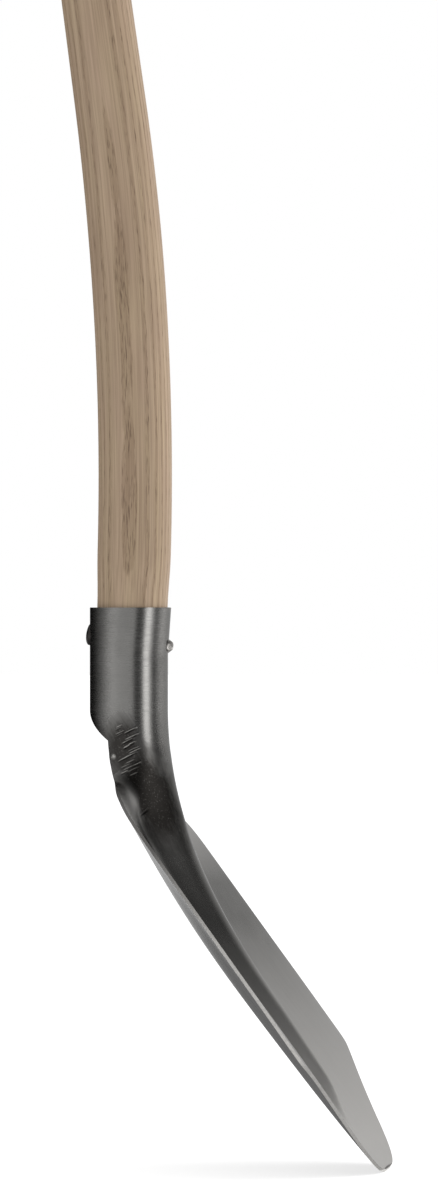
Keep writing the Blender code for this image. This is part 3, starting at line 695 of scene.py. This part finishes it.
HANDLE_LENGTH = 1300 * MM
HANDLE_DIAMETER = 42 * MM
HANDLE_TOP_DIAMETER = 39.2 * MM
HANDLE_MOUTH_RADIUS = 20.1 * MM
TENON_RADIUS = 19.2 * MM
HANDLE_IN_SOCKET = 57 * MM
HANDLE_FOOT_CHAMFER = 2 * MM
HANDLE_TILT = radians(-2)
HANDLE_LEAN = radians(7.8)
HANDLE_BEND_RADIUS = 1600 * MM
HANDLE_BEND_START = 76 * MM
SWELL_ABOVE_MOUTH = 32 * MM
SLIMMING_START = 170 * MM
SLIMMING_END = 420 * MM
BUTT_ROUNDING = 12 * MM
HANDLE_RINGS = 200
HANDLE_SIDES = 96
BUTT_RINGS = 10
SHARP_ABOVE = radians(40)


def along_lean(lean):
    """The direction up a line that leans back by that angle."""
    return Vector((-sin(lean), 0, cos(lean)))


def handle_place(along):
    """The handle's centre that far up from its foot, and the way it leans there."""
    bend = min(max(along - HANDLE_BEND_START, 0) / HANDLE_BEND_RADIUS, HANDLE_LEAN - HANDLE_TILT)
    lean = HANDLE_TILT + bend
    place = Vector((0, 0, MOUTH_HEIGHT - HANDLE_IN_SOCKET))
    place += along_lean(HANDLE_TILT) * min(along, HANDLE_BEND_START)
    place += (square_to(lean) - square_to(HANDLE_TILT)) * HANDLE_BEND_RADIUS
    return place + along_lean(lean) * max(along - HANDLE_BEND_START - bend * HANDLE_BEND_RADIUS, 0), lean


def handle_radius(along):
    """The handle's radius that far up from its foot, without the rounding of its butt."""
    above_mouth = along - HANDLE_IN_SOCKET
    if along < HANDLE_FOOT_CHAMFER:
        return TENON_RADIUS - HANDLE_FOOT_CHAMFER + along
    if above_mouth < 0:
        drawn_in = min(-above_mouth / MOUTH_FLARE_LENGTH, 1)
        return HANDLE_MOUTH_RADIUS + (TENON_RADIUS - HANDLE_MOUTH_RADIUS) * drawn_in
    swell = ease(above_mouth / SWELL_ABOVE_MOUTH)
    slimming = ease((above_mouth - SLIMMING_START) / (SLIMMING_END - SLIMMING_START))
    swollen = HANDLE_MOUTH_RADIUS + (HANDLE_DIAMETER / 2 - HANDLE_MOUTH_RADIUS) * swell
    return swollen + (HANDLE_TOP_DIAMETER - HANDLE_DIAMETER) / 2 * slimming


def turned(profile, sides):
    """A body turned round Z from a profile of (radius, height) pairs that starts and ends on the axis."""
    bm = bmesh.new()
    verts = [bm.verts.new((radius, 0, along)) for radius, along in profile]
    edges = [bm.edges.new(pair) for pair in zip(verts, verts[1:])]
    bmesh.ops.spin(
        bm, geom=verts + edges, cent=(0, 0, 0), axis=(0, 0, 1), angle=2 * pi, steps=sides, use_merge=True
    )
    bmesh.ops.remove_doubles(bm, verts=bm.verts, dist=MERGED_WITHIN)
    bmesh.ops.recalc_face_normals(bm, faces=bm.faces)
    return bm


last = HANDLE_LENGTH - BUTT_ROUNDING
places = [0, HANDLE_FOOT_CHAMFER, HANDLE_IN_SOCKET - MOUTH_FLARE_LENGTH]
places += [HANDLE_IN_SOCKET + (last - HANDLE_IN_SOCKET) * step / HANDLE_RINGS for step in range(HANDLE_RINGS)]
profile = [(0, 0)] + [(handle_radius(along), along) for along in places]
for step in range(BUTT_RINGS + 1):
    turn = pi / 2 * step / BUTT_RINGS
    profile.append((handle_radius(last) - BUTT_ROUNDING * (1 - cos(turn)), last + BUTT_ROUNDING * sin(turn)))
profile.append((0, HANDLE_LENGTH))
bm = turned(profile, HANDLE_SIDES)
unbent = bm.verts.layers.float_vector.new("unbent")
for vert in bm.verts:
    vert[unbent] = vert.co
    place, lean = handle_place(vert.co.z)
    vert.co = place + square_to(lean) * vert.co.x + ACROSS * vert.co.y
handle = new_object("ash_handle", bm)
handle.data.set_sharp_from_angle(angle=SHARP_ABOVE)

# Ash, sanded and left bare: pale brown and matt. Its yearly rings lie nearly flat across the shaft, so they
# draw arches on the camera's side, where it is cut along them, and close straight lines in front and behind.
# Each ring starts with a darker band of open pores, which show as short dark dashes. The real pores of 0.2 mm
# are too fine to show, so they are drawn 0.45 mm.
BARK_TURN = radians(-4)
TO_BARK = Vector((sin(BARK_TURN), -cos(BARK_TURN), 0))
RING_WIDTH = 3.3 * MM
RING_START = 0.43
RING_WANDER = 0.6
WANDER_SIZE = (11 * MM, 11 * MM, 75 * MM)
PORE_SIZE = (0.45 * MM, 0.45 * MM, 8 * MM)
FIBRE_SIZE = (0.9 * MM, 0.9 * MM, 60 * MM)
PATCH_SIZE = (9 * MM, 9 * MM, 55 * MM)
WOOD_RELIEF = 0.05 * MM

ash, tree, shader = new_material("sanded_ash")
grown = add_node(tree, "ShaderNodeAttribute", attribute_name="unbent").outputs["Vector"]
patterns = []
for size, detail, roughness in (
    (WANDER_SIZE, 5, 0.6),
    (PORE_SIZE, 1, 0.5),
    (FIBRE_SIZE, 2, 0.5),
    (PATCH_SIZE, 1, 0.5),
):
    drawn_out = add_node(tree, "ShaderNodeMapping", {"Vector": grown, "Scale": size}, vector_type="TEXTURE")
    noise = {"Vector": drawn_out.outputs[0], "Scale": 1, "Detail": detail, "Roughness": roughness}
    patterns.append(add_node(tree, "ShaderNodeTexNoise", noise).outputs[0])
wander, dashes, fibres, patches = patterns
year = add_node(tree, "ShaderNodeVectorMath", {0: grown, 1: TO_BARK / RING_WIDTH}, operation="DOT_PRODUCT")
year = {0: wander, 1: RING_WANDER, 2: year.outputs["Value"]}
year = add_node(tree, "ShaderNodeMath", year, operation="MULTIPLY_ADD")
year = add_node(tree, "ShaderNodeMath", {0: year.outputs[0], 1: RING_START}, operation="ADD")
season = add_node(tree, "ShaderNodeMath", {0: year.outputs[0]}, operation="FRACT").outputs[0]
early = {"Value": season, "From Min": 0.5, "From Max": 0.06}
early = add_node(tree, "ShaderNodeMapRange", early, interpolation_type="SMOOTHSTEP")
ending = {"Value": season, "From Min": 0.94, "From Max": 1.0}
ending = add_node(tree, "ShaderNodeMapRange", ending, interpolation_type="SMOOTHSTEP")
early = add_node(tree, "ShaderNodeMath", {0: early.outputs[0], 1: ending.outputs[0]}, operation="MAXIMUM")
pores = add_node(tree, "ShaderNodeMapRange", {"Value": dashes, "From Min": 0.55, "From Max": 0.68})
pores = add_node(tree, "ShaderNodeMath", {0: pores.outputs[0], 1: early.outputs[0]}, operation="MULTIPLY")
streaky = add_node(tree, "ShaderNodeMapRange", {"Value": fibres, "From Min": 0.3, "From Max": 0.7})

tone = {"Factor": patches, "A": linear("#bea18c"), "B": linear("#c6b18e")}
tone = add_node(tree, "ShaderNodeMix", tone, data_type="RGBA")
for cover, most, colour in ((streaky, 1, "#a68d74"), (early, 0.36, "#8d745a"), (pores, 0.7, "#5f4a36")):
    weight = add_node(tree, "ShaderNodeMath", {0: cover.outputs[0], 1: most}, operation="MULTIPLY")
    tone = {"Factor": weight.outputs[0], "A": tone.outputs["Result"], "B": linear(colour)}
    tone = add_node(tree, "ShaderNodeMix", tone, data_type="RGBA")
tree.links.new(tone.outputs["Result"], shader.inputs["Base Color"])
dull = add_node(tree, "ShaderNodeMapRange", {"Value": early.outputs[0], "To Min": 0.5, "To Max": 0.66})
tree.links.new(dull.outputs[0], shader.inputs["Roughness"])
relief = add_node(tree, "ShaderNodeMath", {0: fibres, 1: pores.outputs[0]}, operation="SUBTRACT")
bump = add_node(tree, "ShaderNodeBump", {"Height": relief.outputs[0], "Distance": WOOD_RELIEF})
tree.links.new(bump.outputs[0], shader.inputs["Normal"])
handle.data.materials.append(ash)
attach(handle, "root")
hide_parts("handle")

# The rivet is mild steel, driven through socket and handle from the back. Its domed head at the back is
# painted nearly black, which is painted shade, and its tail at the front was hammered over bright.

RIVET_BELOW_MOUTH = 18.6 * MM
RIVET_TILT = radians(9)
RIVET_SHANK_RADIUS = 3 * MM
RIVET_HEAD_RADIUS = 6.5 * MM
RIVET_HEAD_HEIGHT = 2.4 * MM
RIVET_TAIL_RADIUS = 4 * MM
RIVET_TAIL_HEIGHT = 3 * MM
RIVET_SIDES = 64
DOME_RINGS = 16
HAMMER_SEED = 3
HAMMER_BLOWS = 7
HAMMER_DEPTH = 0.5 * MM
HAMMER_DEPTH_SHARES = (0.4, 1)
HAMMER_LEANS = (radians(15), radians(65))
HAMMER_FLATTENING = 0.25

tube = SOCKET_DIAMETER / 2
flare = MOUTH_FLARE * (1 - RIVET_BELOW_MOUTH / MOUTH_FLARE_LENGTH)
turns = [pi / 2 * step / DOME_RINGS for step in range(DOME_RINGS + 1)]
profile = [(RIVET_TAIL_RADIUS * cos(turn), tube + flare + RIVET_TAIL_HEIGHT * sin(turn)) for turn in turns]
profile.reverse()
profile += [(RIVET_TAIL_RADIUS, tube), (RIVET_SHANK_RADIUS, tube), (RIVET_SHANK_RADIUS, -tube + SHEET)]
profile += [(RIVET_HEAD_RADIUS, -tube + SHEET)]
profile += [(RIVET_HEAD_RADIUS * cos(turn), -tube - RIVET_HEAD_HEIGHT * sin(turn)) for turn in turns]
bm = turned(profile, RIVET_SIDES)
# The hammer's blows, each a flat on the tail
random = Random(HAMMER_SEED)
tail_foot = Vector((0, 0, tube + flare))
for blow in range(HAMMER_BLOWS):
    turn = 2 * pi * (blow + random.random()) / HAMMER_BLOWS
    lean = random.uniform(*HAMMER_LEANS)
    struck = Vector((sin(lean) * cos(turn), sin(lean) * sin(turn), cos(lean)))
    reached = RIVET_TAIL_RADIUS - random.uniform(*HAMMER_DEPTH_SHARES) * HAMMER_DEPTH
    reached *= 1 - cos(lean) * HAMMER_FLATTENING
    for vert in bm.verts:
        if vert.co.z > tail_foot.z:
            vert.co -= struck * max((vert.co - tail_foot).dot(struck) - reached, 0)
across_socket = Vector((0, 0, 1)).rotation_difference(Vector((cos(RIVET_TILT), 0, -sin(RIVET_TILT))))
bmesh.ops.rotate(bm, verts=bm.verts, cent=(0, 0, 0), matrix=across_socket.to_matrix())
bmesh.ops.translate(bm, verts=bm.verts, vec=(0, 0, MOUTH_HEIGHT - RIVET_BELOW_MOUTH))
rivet = new_object("driven_rivet", bm)
rivet.data.set_sharp_from_angle(angle=SHARP_ABOVE)

# Mild steel: the head is dull and painted nearly black, which is painted shade, and the tail is bare and
# bright with the hammer's marks. Both are mottled, which keeps their highlights from being even.
MOTTLE_SIZE = 1.6 * MM
MOTTLE_RELIEF = 0.08 * MM
BARE_FROM = -2 * MM
BARE_FULLY = 2 * MM

rivet_steel, tree, shader = new_material("rivet_steel")
coords = add_node(tree, "ShaderNodeTexCoord").outputs["Object"]
forwards = add_node(tree, "ShaderNodeSeparateXYZ", {"Vector": coords}).outputs["X"]
mottle = add_node(tree, "ShaderNodeTexNoise", {"Vector": coords, "Scale": 1 / MOTTLE_SIZE, "Detail": 3})
bare = {"Value": forwards, "From Min": BARE_FROM, "From Max": BARE_FULLY}
bare = add_node(tree, "ShaderNodeMapRange", bare)
tones = []
# The first pair paints the head nearly black as painted shade, and the second is the tail's bare steel.
for dark, light in (("#2b2928", "#4a4746"), ("#a4a19d", "#d2cfcb")):
    tone = {"Factor": mottle.outputs[0], "A": linear(dark), "B": linear(light)}
    tones.append(add_node(tree, "ShaderNodeMix", tone, data_type="RGBA").outputs["Result"])
tone = {"Factor": bare.outputs[0], "A": tones[0], "B": tones[1]}
tone = add_node(tree, "ShaderNodeMix", tone, data_type="RGBA")
tree.links.new(tone.outputs["Result"], shader.inputs["Base Color"])
shader.inputs["Metallic"].default_value = 1
dull = add_node(tree, "ShaderNodeMapRange", {"Value": bare.outputs[0], "To Min": 0.5, "To Max": 0.26})
tree.links.new(dull.outputs[0], shader.inputs["Roughness"])
bump = add_node(tree, "ShaderNodeBump", {"Height": mottle.outputs[0], "Distance": MOTTLE_RELIEF})
tree.links.new(bump.outputs[0], shader.inputs["Normal"])
rivet.data.materials.append(rivet_steel)
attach(rivet, "root")
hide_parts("rivet")

# The studio is a white floor in a white room with three softboxes: a small one at the front right, which
# draws the bright line down the socket, a wide dim one at the left, and a strong one at the right that no
# reflection shows. Three dark cards of gauze, which only reflections see, stand round the object, one lies
# on the floor, and a dark ceiling of the same gauze hangs over the camera's side.

FLOOR_SIZE = 60
FLOOR_GLOW = 0.6
ROOM_LIGHT = 0.64
CARDS_AWAY = 1.5
FLOOR_CARD_CORE = 0.2


def seen_rays(tree):
    """1 for rays from the camera and through reflections, and 0 for those that light something."""
    path = add_node(tree, "ShaderNodeLightPath")
    seen = path.outputs["Is Camera Ray"]
    for kind in ("Is Glossy Ray", "Is Transmission Ray"):
        seen = add_node(tree, "ShaderNodeMath", {0: seen, 1: path.outputs[kind]}, operation="ADD").outputs[0]
    return seen


bm = bmesh.new()
bmesh.ops.create_grid(bm, x_segments=1, y_segments=1, size=FLOOR_SIZE / 2)
floor = new_object("floor", bm)
floor_paint, tree, shader = new_material("white_floor")
tree.nodes.remove(shader)
lift = add_node(tree, "ShaderNodeMath", {0: seen_rays(tree), 1: FLOOR_GLOW}, operation="MULTIPLY")
matt = add_node(tree, "ShaderNodeBsdfDiffuse", {"Color": linear("#f2f2f2")})
glow = add_node(tree, "ShaderNodeEmission", {"Strength": lift.outputs[0]})
both = add_node(tree, "ShaderNodeAddShader", {0: matt.outputs[0], 1: glow.outputs[0]})
tree.links.new(both.outputs[0], tree.nodes["Material Output"].inputs["Surface"])
floor.data.materials.append(floor_paint)

world = bpy.data.worlds.new("white_room")
bpy.context.scene.world = world
world.use_nodes = True
world.cycles.sampling_method = "NONE"
tree = world.node_tree
room = add_node(tree, "ShaderNodeMix", {0: seen_rays(tree), 2: ROOM_LIGHT, 3: 1.0}, data_type="FLOAT")
tree.links.new(room.outputs[0], tree.nodes["Background"].inputs["Strength"])
tree.nodes["Background"].inputs["Color"].default_value = (1, 1, 1, 1)


def from_socket(azimuth, elevation, away):
    """A place that far from the socket and the turn that faces it. Azimuth 0 is -Y, and 90 is +X."""
    level = cos(radians(elevation))
    towards = Vector((sin(radians(azimuth)) * level, -cos(radians(azimuth)) * level, sin(radians(elevation))))
    return Vector((0, 0, MOUTH_HEIGHT)) + towards * away, towards.to_track_quat("Z", "Y").to_euler()


def add_softbox(name, azimuth, elevation, away, width, height, power):
    """A rectangular lamp that faces the socket."""
    lamp = bpy.data.lights.new(name, "AREA")
    lamp.shape = "RECTANGLE"
    lamp.size = width
    lamp.size_y = height
    lamp.energy = power
    softbox = bpy.data.objects.new(name, lamp)
    softbox.location, softbox.rotation_euler = from_socket(azimuth, elevation, away)
    softbox.visible_camera = False
    bpy.context.scene.collection.objects.link(softbox)
    return softbox


def add_veil(name, bm, place, turn):
    """A piece of grey gauze that only reflections see, and that dims what is behind it."""
    veil = new_object(name, bm)
    veil.location, veil.rotation_euler = place, turn
    veil.visible_camera = veil.visible_diffuse = veil.visible_shadow = veil.visible_transmission = False
    cloth, tree, shader = new_material(name)
    tree.nodes.remove(shader)
    gauze = add_node(tree, "ShaderNodeBsdfTransparent")
    tree.links.new(gauze.outputs[0], tree.nodes["Material Output"].inputs["Surface"])
    veil.data.materials.append(cloth)
    return tree, add_node(tree, "ShaderNodeTexCoord").outputs["Object"], gauze.inputs["Color"]


def add_card(name, azimuth, elevation, width, height, light, feather):
    """A card that faces the socket, lets that share of the light through and clears towards its +X side."""
    bm = bmesh.new()
    bmesh.ops.create_grid(bm, x_segments=1, y_segments=1, size=0.5)
    bmesh.ops.scale(bm, verts=bm.verts, vec=(width, height, 1))
    tree, coords, colour = add_veil(name, bm, *from_socket(azimuth, elevation, CARDS_AWAY))
    across = add_node(tree, "ShaderNodeSeparateXYZ", {"Vector": coords}).outputs["X"]
    cleared = {"Value": across, "From Min": width / 2 - feather, "From Max": width / 2, "To Min": light}
    cleared = add_node(tree, "ShaderNodeMapRange", cleared, interpolation_type="SMOOTHSTEP")
    tree.links.new(cleared.outputs[0], colour)


def add_floor_card(name, place, size, light):
    """A card that lies just over the floor and clears from its middle part to its edges."""
    bm = bmesh.new()
    bmesh.ops.create_grid(bm, x_segments=1, y_segments=1, size=size / 2)
    tree, coords, colour = add_veil(name, bm, place, (0, 0, 0))
    away = add_node(tree, "ShaderNodeVectorMath", {0: coords}, operation="LENGTH").outputs["Value"]
    cleared = {"Value": away, "From Min": size * FLOOR_CARD_CORE, "From Max": size / 2, "To Min": light}
    cleared = add_node(tree, "ShaderNodeMapRange", cleared, interpolation_type="SMOOTHSTEP")
    tree.links.new(cleared.outputs[0], colour)


add_softbox("key_softbox", azimuth=59, elevation=-2.8, away=2.2, width=0.68, height=0.56, power=4.1)
add_softbox("fill_softbox", azimuth=-50, elevation=20, away=3, width=2, height=2, power=5)
side = add_softbox("side_softbox", azimuth=112, elevation=10, away=3, width=2, height=2, power=38)
side.visible_glossy = False
add_card("card_by_camera", azimuth=33, elevation=0, width=0.69, height=0.9, light=0.04, feather=0.02)
add_card("card_at_right", azimuth=95, elevation=-3, width=0.95, height=0.6, light=0.15, feather=0.8)
add_card("card_behind", azimuth=-108, elevation=0, width=5.2, height=2.2, light=0.02, feather=3.07)
add_floor_card("card_on_floor", place=Vector((0, 0.35, 0.002)), size=1.8, light=0.34)

# The ceiling is darkest at its axis, to the right over the camera's side, and clears away from it.
CEILING_RADIUS = 4.2
CEILING_AXIS = (55, 35)
CEILING_LIGHT = 0.14
CEILING_DARK_WITHIN = radians(38)
CEILING_CLEAR_BEYOND = radians(92)
CEILING_FULLY_ABOVE = radians(8)

bm = bmesh.new()
bmesh.ops.create_icosphere(bm, subdivisions=4, radius=CEILING_RADIUS)
tree, coords, colour = add_veil("dark_ceiling", bm, (0, 0, MOUTH_HEIGHT), (0, 0, 0))
towards = add_node(tree, "ShaderNodeVectorMath", {0: coords}, operation="NORMALIZE").outputs[0]
axis = from_socket(*CEILING_AXIS, 1)[0] - Vector((0, 0, MOUTH_HEIGHT))
facing = add_node(tree, "ShaderNodeVectorMath", {0: towards, 1: axis}, operation="DOT_PRODUCT")
off_axis = add_node(tree, "ShaderNodeMath", {0: facing.outputs["Value"]}, operation="ARCCOSINE")
ceiling = {"Value": off_axis.outputs[0], "From Min": CEILING_DARK_WITHIN, "From Max": CEILING_CLEAR_BEYOND}
ceiling = add_node(tree, "ShaderNodeMapRange", ceiling | {"To Min": CEILING_LIGHT, "To Max": 1})
upwards = add_node(tree, "ShaderNodeSeparateXYZ", {"Vector": towards}).outputs["Z"]
overhead = {"Value": upwards, "From Max": sin(CEILING_FULLY_ABOVE)}
overhead = add_node(tree, "ShaderNodeMapRange", overhead, interpolation_type="SMOOTHSTEP")
light = {0: overhead.outputs[0], 2: 1.0, 3: ceiling.outputs[0]}
light = add_node(tree, "ShaderNodeMix", light, data_type="FLOAT")
tree.links.new(light.outputs[0], colour)

# The camera looks level at the blade's side, from 6 degrees round towards its front. The picture is taller
# than it is wide, so the sensor's width is fitted to its height.
CAMERA_AWAY = 4.6
CAMERA_TURN = radians(6.15)
VIEW_HEIGHT = 0.6864
VIEW_CENTRE_RIGHT = 0.0515
VIEW_CENTRE_HEIGHT = 0.3247

camera_data = bpy.data.cameras.new("camera")
camera_data.lens = camera_data.sensor_width * CAMERA_AWAY / VIEW_HEIGHT
camera = bpy.data.objects.new("camera", camera_data)
looking = Vector((-sin(CAMERA_TURN), cos(CAMERA_TURN), 0))
to_right = Vector((cos(CAMERA_TURN), sin(CAMERA_TURN), 0))
centre = to_right * VIEW_CENTRE_RIGHT + Vector((0, 0, VIEW_CENTRE_HEIGHT))
camera.location = centre - looking * CAMERA_AWAY
camera.rotation_euler = (radians(90), 0, CAMERA_TURN)
bpy.context.scene.collection.objects.link(camera)
bpy.context.scene.camera = camera
bpy.context.scene.view_settings.view_transform = "Standard"
